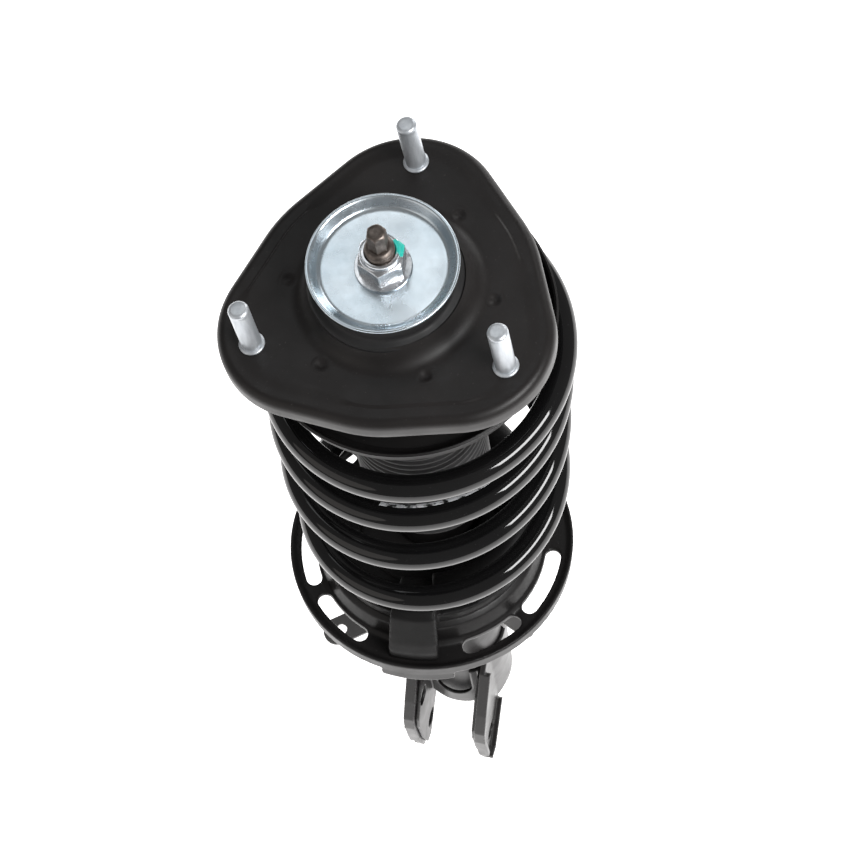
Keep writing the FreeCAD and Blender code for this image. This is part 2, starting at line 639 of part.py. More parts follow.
def side_lips():
    """Lips turned outwards along the front and back edges of the ears."""
    lips = []
    for first, last in (LIP_FRONT, LIP_BACK):
        for a, b in zip(EAR_OUTLINE[first:last], EAR_OUTLINE[first + 1:last + 1]):
            length = math.hypot(b[0] - a[0], b[1] - a[1])
            inward = ((b[1] - a[1]) / length * EAR_T, -(b[0] - a[0]) / length * EAR_T)
            lips.append(side_prism([a, b, (b[0] + inward[0], b[1] + inward[1]),
                                    (a[0] + inward[0], a[1] + inward[1])],
                                   GAP_HALF + LINER_T + EAR_T + EAR_LIP))
    room = side_prism([(-60, -400), (90, -400), (90, -700), (-60, -700)], GAP_HALF + LINER_T + 1)
    return join(lips).common(side_prism(EAR_OUTLINE, 60)).cut(room)


def knuckle_bracket():
    """Folded sheet that wraps the tube and runs forwards as two ears."""
    inner = GAP_HALF + LINER_T
    low, high = -640, -440
    outside = box(-inner - EAR_T, inner + EAR_T, -80, 0, low, high)
    wrap = rod(TUBE_R + EAR_T, low, high)
    inside = box(-inner, inner, -90, 0, low - 1, high + 1)
    hollow = rod(TUBE_R, low - 1, high + 1)
    sheet = outside.cut(inside).fuse(wrap.cut(box(-inner, inner, -90, 0, low - 1, high + 1))).cut(hollow)
    sheet = sheet.removeSplitter().common(side_prism(EAR_OUTLINE, 60))
    sheet = bolt_holes(join([sheet, side_lips()]))
    sheet.translate(V(BRACKET_SHIFT, 0, 0))
    return turned_to(sheet.cut(rod(TUBE_R, low, high)), BRACKET_TURN)


def bracket_liner():
    """Inner channel: it doubles the ears, and its web closes the front of the tube."""
    low, high = -640, -440
    inner = GAP_HALF
    sides = box(-inner - LINER_T, inner + LINER_T, -70, -4, low, high)
    sides = sides.cut(box(-inner, inner, -90, 0, low - 1, high + 1)).cut(rod(TUBE_R, low, high))
    web = ring(WEB_R + LINER_T, WEB_R, WEB_BOTTOM_Z, -488).common(box(-inner - 1, inner + 1, -60, -8, low, high))
    window = Part.makeCylinder(11, 60, V(0, -60, WEB_WINDOW_Z + 11), V(0, 1, 0))
    web = web.cut(window).cut(box(-11, 11, -60, 0, WEB_WINDOW_Z + 11, high))
    sheet = join([sides, web]).common(side_prism(LINER_OUTLINE, 60))
    sheet.translate(V(BRACKET_SHIFT, 0, 0))
    return turned_to(bolt_holes(sheet).cut(rod(TUBE_R, low, high)), BRACKET_TURN)


# ---- brackets on the tube --------------------------------------------------------------------
def tube_arm(turn, z, hole_at, hole_r, half_width, reach, drop):
    """Sheet arm: a foot welded to the tube and a flat tab with a round end and a hole."""
    foot = ring(TUBE_R + ARM_T, TUBE_R, z - drop, z + ARM_T)
    foot = foot.common(box(0, 60, -half_width, half_width, z - 100, z + 100))
    tab = box(TUBE_R - 1, reach, -half_width, half_width, z, z + ARM_T)
    end = rod(half_width, z, z + ARM_T, (reach, 0))
    rib = box(TUBE_R - 1, hole_at - 12, -half_width, -half_width + ARM_T, z - 7, z + 1)
    arm = join([foot, tab, end, rib]).cut(rod(TUBE_R, z - 100, z + 100))
    return turned_to(arm.cut(rod(hole_r, z - 5, z + 10, (hole_at, 0))), turn)


def main():
    os.makedirs("parts", exist_ok=True)
    plate = mount_plate()
    nodes = {
        "mount_plate": plate,
        "mount_studs": mount_studs(),
        "mount_rubber": mount_rubber(plate),
        "mount_core": mount_core(),
        "rebound_washer": rebound_washer(),
        "rod_nut": rod_nut(),
        "piston_rod": piston_rod(),
        "bump_cup": bump_cup(),
        "bump_stop": bump_stop(),
        "piston": piston(),
        "piston_band": piston_band(),
        "piston_valve": piston_valve(),
        "piston_nut": piston_nut(),
        "rebound_stop": rebound_stop(),
        "rebound_keeper": rebound_keeper(),
        "bearing_cap": bearing_cap(),
        "bearing_race": bearing_race(),
        "bearing_cage": bearing_cage(),
        "bearing_balls": bearing_balls(),
        "upper_spring_seat": upper_spring_seat(),
        "upper_insulator": upper_insulator(),
        "coil_spring": spring_wire(WIRE_R),
        "coil_sleeve": coil_sleeve(),
        "dust_boot": dust_boot(),
        "outer_tube": outer_tube(),
        "bottom_cap": bottom_cap(),
        "inner_cylinder": inner_cylinder(),
        "base_valve": base_valve(),
        "rod_guide": rod_guide(),
        "guide_bush": guide_bush(),
        "oil_seal": oil_seal(),
        "striker_cap": striker_cap(),
        "lower_spring_seat": lower_spring_seat(),
        "lower_insulator": lower_insulator(),
        "knuckle_bracket": knuckle_bracket(),
        "bracket_liner": bracket_liner(),
        "hose_bracket": tube_arm(**HOSE_ARM),
        "sensor_bracket": tube_arm(**SENSOR_ARM),
    }
    for name, shape in nodes.items():
        export(name, shape)


main()
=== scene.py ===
import bmesh
import bpy
import math
import numpy as np
from mathutils import Euler, Matrix, Vector
from mathutils.kdtree import KDTree


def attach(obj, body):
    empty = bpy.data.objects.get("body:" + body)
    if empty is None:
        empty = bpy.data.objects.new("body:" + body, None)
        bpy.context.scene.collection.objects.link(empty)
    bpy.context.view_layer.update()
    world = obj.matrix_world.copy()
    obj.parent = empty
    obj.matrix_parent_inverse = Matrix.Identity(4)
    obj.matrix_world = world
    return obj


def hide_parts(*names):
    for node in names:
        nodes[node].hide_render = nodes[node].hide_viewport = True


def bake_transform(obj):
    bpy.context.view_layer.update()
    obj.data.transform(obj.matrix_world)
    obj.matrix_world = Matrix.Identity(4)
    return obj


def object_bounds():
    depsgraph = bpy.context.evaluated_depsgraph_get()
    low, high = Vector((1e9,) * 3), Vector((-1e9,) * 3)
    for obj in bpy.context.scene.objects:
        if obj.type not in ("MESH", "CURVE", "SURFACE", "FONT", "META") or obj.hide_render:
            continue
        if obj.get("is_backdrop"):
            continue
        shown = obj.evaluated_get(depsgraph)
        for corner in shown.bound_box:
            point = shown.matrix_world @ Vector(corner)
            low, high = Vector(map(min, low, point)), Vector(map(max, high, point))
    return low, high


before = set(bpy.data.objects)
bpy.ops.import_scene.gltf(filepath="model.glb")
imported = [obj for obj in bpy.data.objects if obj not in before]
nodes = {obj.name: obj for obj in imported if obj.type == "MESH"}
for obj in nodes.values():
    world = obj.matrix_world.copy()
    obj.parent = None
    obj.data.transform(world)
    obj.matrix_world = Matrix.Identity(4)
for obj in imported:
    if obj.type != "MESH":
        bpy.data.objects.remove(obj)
cad_low, cad_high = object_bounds()
MM = 0.001

# ---- top plate, in millimetres ----------------------------------------------------------------
PLATE_TILT_X = -4.0          # the tower face leans from the damper axis by these two angles
PLATE_TILT_Y = -2.5
PLATE_CENTRE = (1.2, -0.4)
PLATE_T = 4.0
PLATE_EDGE_R = 71.8          # round sides between the lobes
PLATE_EDGE_H = 11.0          # depth of the turned-down edge
PLATE_BEND_R = 5.0
LOBES = 3                    # one stud in each lobe
LOBE_R = 46.3
LOBE_AT = 40.1
PLATE_STEP_H = 0.8           # raised panel inside the edge
PLATE_STEP_INSET = 10.0
CRISP_ARCS = ((-93, 24), (142, 20), (12, 9))    # bearing and half angle of the panel's crisp edges
PLATE_BORE_R = 36.9
PLATE_FLARE_R = 49.0         # the plate is drawn up from here to its bore
PLATE_FLARE_H = 10.2
DIMPLES = 6
DIMPLE_AT = 50.0
DIMPLE_PHASE = 38.0
DIMPLE_R = 3.4
DIMPLE_DEPTH = 1.3
DIMPLE_RIM_H = 0.25
FLANK_STEPS = 14             # points along each straight, lobe and side of the outline
LOBE_STEPS = 90
SIDE_STEPS = 60
PANEL_STEPS = 60             # rows from the bend to the bore

# ---- studs, washer, nut and rod ---------------------------------------------------------------
STUD_R = 5.0
STUD_LENGTH = 35.0
STUD_PITCH = 1.25            # M10
STUD_TIP = 1.6
STUD_PCD_R = 70.0
STUD_PHASE = 69.0
STUD_COLLAR_R = 6.6
STUD_COLLAR_H = 1.4
STUD_SHANK_R = 5.5
STUD_HEAD_R = 8.0
STUD_HEAD_H = 3.0
WASHER_FLOOR_Z = 24.3
WASHER_RIM_Z = 29.3
WASHER_T = 2.5
WASHER_RIM_R = 36.0
WASHER_FLOOR_R = 30.0
NUT_AF = 21.0                # across the flats
NUT_FLANGE_R = 13.6
NUT_TOP_Z = 38.0
NUT_COLLAR_R = 9.4
NUT_COLLAR_Z = 41.0
HEX_PHASE = 12.0
FIT = 0.05                   # radial clearance round the thread
THREAD_R = 7.0
ROD_PITCH = 1.5              # M14
ROD_R = 11.0
ROD_END_Z = -306.0
ROD_STEP_Z = -286.0          # the piston's seat
ROD_SHOULDER_Z = -26.0
ROD_THREAD_Z = 15.0          # the dark threaded end starts here
HEX_KEY_Z = 46.0
HEX_KEY_AF = 8.5
ROD_TIP_Z = 59.5

# ---- spring and boot --------------------------------------------------------------------------
WIRE_R = 6.9
COIL_HEIGHTS = (-250.0, -213.7, -155.1, -105.4, -71.1, -52.0)    # at the front, turn by turn
COIL_R_BOTTOM = 68.0
COIL_R_TOP = 72.5
COIL_FOOT = (-2.8, -10.8)    # centre of the coil at its lower and upper ends
COIL_HEAD = (8.5, -0.5)
COIL_START = -96.0           # bearing of the lower end, degrees
COIL_END_TURN = 4.6
PIGTAIL_R = 21.0             # the first turn winds in by this much towards the lower end
PAD_FROM_TURN = 4.36         # the upper pad holds the wire from here to its end
PAN_TILT_X = -6.0            # lean of the lower seat
PAN_TILT_Y = 2.3
SLEEVE_R = 8.1
SLEEVE_TURNS = 0.6
SLEEVE_END = 0.012           # the sleeve passes the wire's end by this part of a turn
BAND_TURNS = (2.94, 3.12)    # painted reflection: a light band on the wire
BAND_ANGLES = (116, 148)
BAND_T = 0.05
TUBE_R = 25.0
TUBE_TOP_Z = -235.0
BOOT_TOP_Z = -40.5
BOOT_LOW_Z = -244.0
BOOT_CUFF_R = 34.5
BOOT_CUFF_H = 9.0
BOOT_PLEATS = 30
BOOT_RIDGE_R = 35.2
BOOT_ROOT_R = 32.0
BOOT_WALL = 1.4

# ---- photograph's viewing angle ---------------------------------------------------------------
CAMERA_DISTANCE = 1.31735    # metres
CAMERA_ELEVATION = 63.528    # degrees
CAMERA_ROLL = -12.457
CAMERA_TILT = 2.86
CAMERA_PAN = -0.133
CAMERA_LENS = 118.59         # millimetres, on a 36 mm sensor


# ---- mesh helpers -----------------------------------------------------------------------------
def new_piece(name, points, faces, sharp=35.0):
    """Mesh object from points in millimetres, smooth but for edges sharper than the angle."""
    mesh = bpy.data.meshes.new(name)
    mesh.from_pydata([[c * MM for c in p] for p in points], [], faces)
    work = bmesh.new()
    work.from_mesh(mesh)
    bmesh.ops.remove_doubles(work, verts=work.verts, dist=1e-6)
    bmesh.ops.recalc_face_normals(work, faces=work.faces)
    work.to_mesh(mesh)
    work.free()
    mesh.shade_smooth()
    mesh.set_sharp_from_angle(angle=math.radians(sharp))
    piece = bpy.data.objects.new(name, mesh)
    bpy.context.scene.collection.objects.link(piece)
    return piece


def grid(rows, around_closed=True, rows_closed=False):
    """Points and quads of a grid of point rows."""
    width = len(rows[0])
    points = [p for row in rows for p in row]
    faces = []
    for i in range(len(rows) if rows_closed else len(rows) - 1):
        a = i * width
        b = (i + 1) % len(rows) * width
        for j in range(width if around_closed else width - 1):
            k = (j + 1) % width
            faces.append((a + j, a + k, b + k, b + j))
    return points, faces


def eased(profile, radius, closed, steps=4):
    """The profile with every corner replaced by a small curve."""
    out = []
    for k, corner in enumerate(profile):
        if not closed and k in (0, len(profile) - 1):
            out.append(corner)
            continue
        c = np.array(corner, float)
        before = np.array(profile[k - 1], float)
        after = np.array(profile[(k + 1) % len(profile)], float)
        reach = [np.linalg.norm(p - c) for p in (before, after)]
        start = c + (before - c) / reach[0] * min(radius, 0.45 * reach[0])
        end = c + (after - c) / reach[1] * min(radius, 0.45 * reach[1])
        for s in range(steps + 1):
            t = s / steps
            out.append(tuple((1 - t) ** 2 * start + 2 * t * (1 - t) * c + t ** 2 * end))
    return out


def lathe(profile, segments=96, closed=True, shape=None):
    """Rows of a turned surface from (radius, height); shape(radius, height, angle) changes the radius."""
    rows = []
    for r, z in profile:
        row = []
        for j in range(segments):
            angle = 2 * math.pi * j / segments
            reach = shape(r, z, angle) if shape else r
            row.append((reach * math.cos(angle), reach * math.sin(angle), z))
        rows.append(row)
    return grid(rows, True, closed)


def tilted(points, tilt_x, tilt_y, at):
    """Points leaned about X and Y, then moved."""
    turn = Euler((math.radians(tilt_x), 0, 0)).to_matrix() @ Euler((0, math.radians(tilt_y), 0)).to_matrix()
    return [tuple(turn @ Vector(p) + Vector(at)) for p in points]


def polar(radius, degrees):
    return radius * math.cos(math.radians(degrees)), radius * math.sin(math.radians(degrees))


def merged(parts):
    """Several (points, faces) as one."""
    points, faces = [], []
    for p, f in parts:
        faces += [tuple(i + len(points) for i in face) for face in f]
        points += p
    return points, faces


def hexagonal(across_flats, phase):
    """Radius of a hexagon at an angle, its corners at the phase."""
    def radius(angle):
        local = (math.degrees(angle) - phase) % 60 - 30
        return across_flats / 2 / math.cos(math.radians(local))
    return radius


def thread(radius, depth, pitch, low, high, fade):
    """Shape for lathe: a helical groove between two heights."""
    def reach(r, z, angle):
        if not low < z < high:
            return r
        wave = abs((z / pitch - angle / (2 * math.pi)) % 1 * 2 - 1)
        ends = min(1.0, (z - low) / fade, (high - z) / fade)
        return r - depth * ends * wave
    return reach


# ---- material helpers -------------------------------------------------------------------------
class Paint:
    """A procedural material on object coordinates, in millimetres."""

    def __init__(self, name, rough, metal=0.0, specular=0.5, coat=0.0, coat_rough=0.1):
        self.material = bpy.data.materials.new(name)
        self.material.use_nodes = True
        self.tree = self.material.node_tree
        self.shader = self.tree.nodes["Principled BSDF"]
        self.shader.inputs["Metallic"].default_value = metal
        self.shader.inputs["Roughness"].default_value = rough
        self.shader.inputs["Specular IOR Level"].default_value = specular
        self.shader.inputs["Coat Weight"].default_value = coat
        self.shader.inputs["Coat Roughness"].default_value = coat_rough
        self.place = self.tree.nodes.new("ShaderNodeTexCoord").outputs["Object"]
        self.height = None

    def link(self, a, b):
        self.tree.links.new(a, b)

    def stretched(self, scale):
        node = self.tree.nodes.new("ShaderNodeMapping")
        self.link(self.place, node.inputs["Vector"])
        node.inputs["Scale"].default_value = scale
        return node.outputs["Vector"]

    def noise(self, scale, detail=4.0, rough=0.55, place=None):
        node = self.tree.nodes.new("ShaderNodeTexNoise")
        self.link(place or self.place, node.inputs["Vector"])
        node.inputs["Scale"].default_value = scale
        node.inputs["Detail"].default_value = detail
        node.inputs["Roughness"].default_value = rough
        return node.outputs["Fac"]

    def math(self, kind, a, b):
        node = self.tree.nodes.new("ShaderNodeMath")
        node.operation = kind
        for socket, value in zip(node.inputs, (a, b)):
            if isinstance(value, (int, float)):
                socket.default_value = value
            else:
                self.link(value, socket)
        return node.outputs[0]

    def ramp(self, source, stops):
        node = self.tree.nodes.new("ShaderNodeValToRGB")
        self.link(source, node.inputs["Fac"])
        marks = node.color_ramp.elements
        while len(marks) < len(stops):
            marks.new(0.5)
        for mark, (at, colour) in zip(marks, stops):
            mark.position = at
            mark.color = (*colour, 1) if len(colour) == 3 else (colour[0], colour[0], colour[0], 1)
        return node.outputs["Color"]

    def mixed(self, share, a, b):
        node = self.tree.nodes.new("ShaderNodeMix")
        node.data_type = "RGBA"
        self.link(share, node.inputs["Factor"])
        for socket, value in ((node.inputs["A"], a), (node.inputs["B"], b)):
            if isinstance(value, tuple):
                socket.default_value = (*value, 1)
            else:
                self.link(value, socket)
        return node.outputs["Result"]

    def base_colour(self):
        return self.shader.inputs["Base Color"].links[0].from_socket

    def colour(self, source):
        self.link(source, self.shader.inputs["Base Color"])
        return self

    def roughness(self, source, low, high):
        node = self.tree.nodes.new("ShaderNodeMapRange")
        self.link(source, node.inputs["Value"])
        node.inputs["From Min"].default_value = 0.3
        node.inputs["From Max"].default_value = 0.7
        node.inputs["To Min"].default_value = low
        node.inputs["To Max"].default_value = high
        self.link(node.outputs["Result"], self.shader.inputs["Roughness"])
        return self

    def bump(self, source, millimetres):
        node = self.tree.nodes.new("ShaderNodeBump")
        node.inputs["Distance"].default_value = millimetres * MM
        self.link(source, node.inputs["Height"])
        if self.height:
            self.link(self.height, node.inputs["Normal"])
        self.height = node.outputs["Normal"]
        self.link(self.height, self.shader.inputs["Normal"])
        return self


def black_coat(name, dark, light, rough_low, rough_high, specular, grain, grain_size, coat=0.0):
    """Black paint: slightly cloudy colour, fine orange peel and small specks of dust."""
    p = Paint(name, (rough_low + rough_high) / 2, specular=specular, coat=coat, coat_rough=0.06)
    cloud = p.noise(28.0)
    dust = p.ramp(p.noise(900.0, 2.0), [(0.70, (0.0,)), (0.76, (1.0,))])
    base = p.ramp(cloud, [(0.3, dark), (0.7, light)])
    p.colour(p.mixed(dust, base, tuple(c * 1.9 + 0.012 for c in light)))
    p.roughness(p.noise(70.0), rough_low, rough_high)
    return p.bump(p.noise(grain_size, 3.0), grain)


def rubber_like(name, dark, light, rough_low, rough_high, grain, specular=0.35):
    """Rubber, foam or plastic: cloudy colour and a fine moulded grain."""
    p = Paint(name, rough_high, specular=specular)
    p.colour(p.ramp(p.noise(45.0), [(0.3, dark), (0.7, light)]))
    p.roughness(p.noise(160.0), rough_low, rough_high)
    return p.bump(p.noise(1400.0, 3.0), grain)


def metal_like(name, dark, light, rough_low, rough_high, streaks=(60.0, 60.0, 60.0), grain=0.01, metal=1.0):
    """Metal with uneven colour and polish; streaks are the noise's scales along X, Y and Z."""
    p = Paint(name, rough_low, metal=metal)
    place = p.stretched(streaks)
    p.colour(p.ramp(p.noise(1.0, 5.0, 0.6, place), [(0.3, dark), (0.7, light)]))
    p.roughness(p.noise(3.0, 4.0, 0.6, place), rough_low, rough_high)
    return p.bump(p.noise(6.0, 3.0, 0.6, place), grain)


# ---- materials --------------------------------------------------------------------------------
plate_paint = black_coat("satin_black_plate", (0.0095, 0.0084, 0.0082), (0.0145, 0.0126, 0.0122),
                         0.36, 0.48, 0.30, 0.035, 420.0).material
sheet_paint = black_coat("satin_black_sheet", (0.009, 0.0085, 0.0085), (0.014, 0.013, 0.013),
                         0.34, 0.46, 0.24, 0.03, 380.0).material
tab_paint = black_coat("satin_grey_tab", (0.10, 0.098, 0.097), (0.16, 0.157, 0.155),
                       0.34, 0.46, 0.4, 0.03, 380.0).material
bracket_paint = black_coat("satin_black_bracket", (0.011, 0.010, 0.010), (0.017, 0.016, 0.016),
                           0.30, 0.42, 0.45, 0.015, 300.0).material
spring_paint = black_coat("gloss_black_spring", (0.004, 0.004, 0.0042), (0.0065, 0.0063, 0.0065),
                          0.035, 0.075, 0.5, 0.004, 160.0).material
zinc = metal_like("zinc_plate_bright", (0.56, 0.65, 0.71), (0.72, 0.785, 0.83), 0.20, 0.32,
                  (22.0, 22.0, 22.0), 0.012).material
zinc_stud = metal_like("zinc_plate_stud", (0.44, 0.47, 0.50), (0.66, 0.69, 0.72), 0.30, 0.44,
                       (260.0, 260.0, 40.0), 0.012, 0.6).material


def zinc_with_paint_dab(at, colour):
    """Zinc plate with a ragged dab of paint round a point, in metres."""
    p = metal_like("zinc_plate_marked", (0.56, 0.59, 0.62), (0.82, 0.83, 0.85), 0.16, 0.30,
                   (120.0, 120.0, 120.0), 0.02)
    away = p.tree.nodes.new("ShaderNodeVectorMath")
    away.operation = "DISTANCE"
    p.link(p.place, away.inputs[0])
    away.inputs[1].default_value = at
    ragged = p.math("ADD", away.outputs["Value"], p.math("MULTIPLY", p.noise(420.0), 0.004))
    dab = p.ramp(p.math("MULTIPLY", ragged, 100.0), [(0.62, (1.0,)), (0.70, (0.0,))])
    p.colour(p.mixed(dab, p.base_colour(), colour))
    p.link(p.ramp(dab, [(0.4, (1.0,)), (0.6, (0.0,))]), p.shader.inputs["Metallic"])
    return p.material


marked_zinc = zinc_with_paint_dab((0.0095, 0.0005, 0.0395), (0.03, 0.50, 0.42))
key_steel = metal_like("rod_end_steel", (0.10, 0.085, 0.076), (0.22, 0.19, 0.17), 0.34, 0.5,
                       (240.0, 240.0, 240.0), 0.03).material
bare = metal_like("bare_steel_turned", (0.40, 0.40, 0.41), (0.55, 0.55, 0.56), 0.22, 0.38,
                  (30.0, 30.0, 400.0), 0.01).material
chrome = metal_like("hard_chrome_ground", (0.60, 0.61, 0.63), (0.72, 0.73, 0.75), 0.05, 0.10,
                    (30.0, 30.0, 500.0), 0.003).material
sintered = metal_like("sintered_iron_pressed", (0.15, 0.15, 0.15), (0.26, 0.26, 0.26), 0.45, 0.6,
                      (500.0, 500.0, 500.0), 0.04).material
bronze = metal_like("bronze_faced", (0.45, 0.30, 0.15), (0.60, 0.42, 0.22), 0.25, 0.4).material
rubber = rubber_like("rubber_moulded", (0.008, 0.008, 0.0085), (0.014, 0.0135, 0.014),
                     0.48, 0.62, 0.03).material
pad_rubber = rubber_like("rubber_pad", (0.006, 0.006, 0.006), (0.010, 0.0095, 0.0095),
                         0.42, 0.58, 0.05, 0.16).material
boot_rubber = rubber_like("boot_rubber_moulded", (0.014, 0.014, 0.0145), (0.024, 0.0235, 0.024),
                          0.36, 0.5, 0.02).material
foam = rubber_like("foam_cells", (0.42, 0.38, 0.25), (0.60, 0.55, 0.40), 0.7, 0.85, 0.15).material
grey_plastic = rubber_like("grey_plastic_moulded", (0.28, 0.28, 0.27), (0.38, 0.38, 0.37),
                           0.4, 0.5, 0.02).material
black_plastic = rubber_like("black_plastic_moulded", (0.02, 0.02, 0.02), (0.034, 0.034, 0.034),
                            0.4, 0.5, 0.02).material

FINISHES = {
    "mount_plate": plate_paint, "mount_rubber": rubber, "mount_core": bare, "rebound_washer": zinc,
    "rod_nut": zinc, "mount_studs": zinc_stud, "piston_rod": chrome, "bump_cup": bare, "bump_stop": foam,
    "piston": sintered, "piston_band": black_plastic, "piston_valve": bare, "piston_nut": bare,
    "rebound_stop": rubber, "rebound_keeper": bare, "bearing_cap": black_plastic,
    "bearing_cage": grey_plastic, "bearing_balls": chrome, "bearing_race": black_plastic,
    "upper_spring_seat": sheet_paint, "upper_insulator": pad_rubber,
    "coil_spring": spring_paint, "dust_boot": boot_rubber,
    "outer_tube": sheet_paint, "bottom_cap": sheet_paint, "inner_cylinder": bare, "base_valve": sintered,
    "rod_guide": sintered, "guide_bush": bronze, "oil_seal": rubber, "striker_cap": black_plastic,
    "lower_spring_seat": sheet_paint, "lower_insulator": pad_rubber, "coil_sleeve": pad_rubber,
    "knuckle_bracket": bracket_paint, "bracket_liner": bracket_paint, "hose_bracket": tab_paint,
    "sensor_bracket": tab_paint,
}


def paint(piece, material):
    piece.data.materials.clear()
    piece.data.materials.append(material)


for node, material in FINISHES.items():
    paint(nodes[node], material)


def soften(node, voxel, passes):
    """Rounds the sharp edges of a pressed or moulded piece."""
    remesh = nodes[node].modifiers.new("even_mesh", "REMESH")
    remesh.mode = "VOXEL"
    remesh.voxel_size = voxel * MM
    remesh.use_smooth_shade = True
    smooth = nodes[node].modifiers.new("rounded_edges", "SMOOTH")
    smooth.factor = 0.5
    smooth.iterations = passes


soften("lower_insulator", 1.0, 10)
soften("lower_spring_seat", 0.7, 3)
soften("knuckle_bracket", 0.6, 4)
soften("bracket_liner", 0.6, 4)
soften("hose_bracket", 0.5, 3)
soften("sensor_bracket", 0.5, 3)


def stand_in(piece, body, node, slot, *materials):
    """Puts a finished piece in place of its CAD node."""
    for material in materials:
        piece.data.materials.append(material)
    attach(piece, body)
    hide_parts(node)
    return piece


# ---- top plate --------------------------------------------------------------------------------
def smooth_step(value):
    """0 to 1 with soft ends."""
    t = min(1.0, max(0.0, value))
    return t * t * (3 - 2 * t)


def plate_edge():
    """Points of the three-lobed outline, each with its outward direction and bearing."""
    lean = math.degrees(math.acos((PLATE_EDGE_R - LOBE_R) / LOBE_AT))
    edge = []
    for k in range(LOBES):
        axis = STUD_PHASE + 120 * k
        lobe = np.array(polar(LOBE_AT, axis))
        for angle in (axis - lean, axis + lean):
            on_side = np.array(polar(PLATE_EDGE_R, angle))
            on_lobe = lobe + np.array(polar(LOBE_R, angle))
            ends = (on_side, on_lobe) if angle < axis else (on_lobe, on_side)
            flank = [(ends[0] + (ends[1] - ends[0]) * s / FLANK_STEPS, angle) for s in range(FLANK_STEPS)]
            if angle < axis:
                flank += [(lobe + np.array(polar(LOBE_R, a)), a)
                          for a in np.linspace(axis - lean, axis + lean, LOBE_STEPS, endpoint=False)]
            edge += flank
        edge += [(np.array(polar(PLATE_EDGE_R, a)), a)
                 for a in np.linspace(axis + lean, axis + 120 - lean, SIDE_STEPS, endpoint=False)]
    return edge


def panel_line(bearing):
    """1 where the raised panel's edge is crisp, 0 where it fades out."""
    crisp = 0.0
    for middle, half in CRISP_ARCS:
        away = abs((bearing - middle + 180) % 360 - 180)
        crisp = max(crisp, 1 - smooth_step((away - half) / 8))
    return crisp


def plate_top(x, y, inset, bearing):
    """Height of the plate's upper face: a raised panel and six round dimples."""
    width = 1.0 + 7.0 * (1 - panel_line(bearing))
    height = PLATE_STEP_H * smooth_step((inset - PLATE_STEP_INSET + width / 2) / width)
    for k in range(DIMPLES):
        dx, dy = polar(DIMPLE_AT, DIMPLE_PHASE + 360 / DIMPLES * k)
        away = math.hypot(x - dx, y - dy) / DIMPLE_R
        height -= DIMPLE_DEPTH * (1 - smooth_step(away))
        height += DIMPLE_RIM_H * (1 - smooth_step(abs(away - 1.15) / 0.3))
    drawn = max(0.0, (PLATE_FLARE_R - math.hypot(x, y)) / (PLATE_FLARE_R - PLATE_BORE_R))
    return height + PLATE_FLARE_H * drawn ** 2.6


def plate_mesh():
    """Turned-down edge, bend, pressed top face, bore and underside as one closed grid."""
    edge = plate_edge()
    r = PLATE_BEND_R
    t = PLATE_T
    low = -PLATE_EDGE_H
    bend = [(r - r * math.cos(math.radians(a)), -r + r * math.sin(math.radians(a))) for a in range(0, 91, 9)]
    lip = [(t, low + 0.4), (t - 0.4, low), (0.5, low), (0.12, low + 0.15), (0, low + 0.6), (0, low + 3)]

    def inset_row(inset, z):
        return [(*(p - inset * np.array(polar(1, a))), z) for p, a in edge]
    rows = [inset_row(inset, z) for inset, z in lip + bend]
    for s in range(1, PANEL_STEPS + 1):
        row = []
        for p, a in edge:
            start = p - r * np.array(polar(1, a))
            end = start / np.linalg.norm(start) * PLATE_BORE_R
            x, y = start + (end - start) * s / PANEL_STEPS
            inwards = abs(np.dot((start - end) / math.dist(start, end), polar(1, a)))
            inset = r + math.dist((x, y), start) * inwards
            row.append((x, y, plate_top(x, y, inset, math.degrees(math.atan2(y, x)))))
        rows.append(row)
    bore = [(x, y, -t) for x, y, z in rows[-1]]
    flat = [(t + 5, -t), (t + 2, -t - 0.1), (t + 0.4, -t - 0.6), (t, -t - 2)]
    under = [inset_row(inset, z) for inset, z in flat]
    return grid(rows + [bore] + under, True, True)


points, faces = plate_mesh()
points = tilted(points, PLATE_TILT_X, PLATE_TILT_Y, (*PLATE_CENTRE, 0))
plate = new_piece("top_plate_pressed", points, faces, 55.0)
stand_in(plate, "mount", "mount_plate", "satin_black_paint", plate_paint)

# ---- rubber of the mount ----------------------------------------------------------------------
boss = [(15.6, 21.8), (29.5, 21.8), (31.5, 20.6), (32.6, 17.6), (33.2, 14.4), (36.6, 13.0), (37.6, 11.6),
        (37.4, 9.6), (36.0, 8.6), (35.2, -3), (42.6, -8), (44.6, -16), (41.6, -20.8), (15.6, -20.8)]
boss_piece = new_piece("mount_rubber_moulded", *lathe(eased(boss, 1.2, True), 160), sharp=60.0)
stand_in(boss_piece, "mount", "mount_rubber", "rubber", rubber)


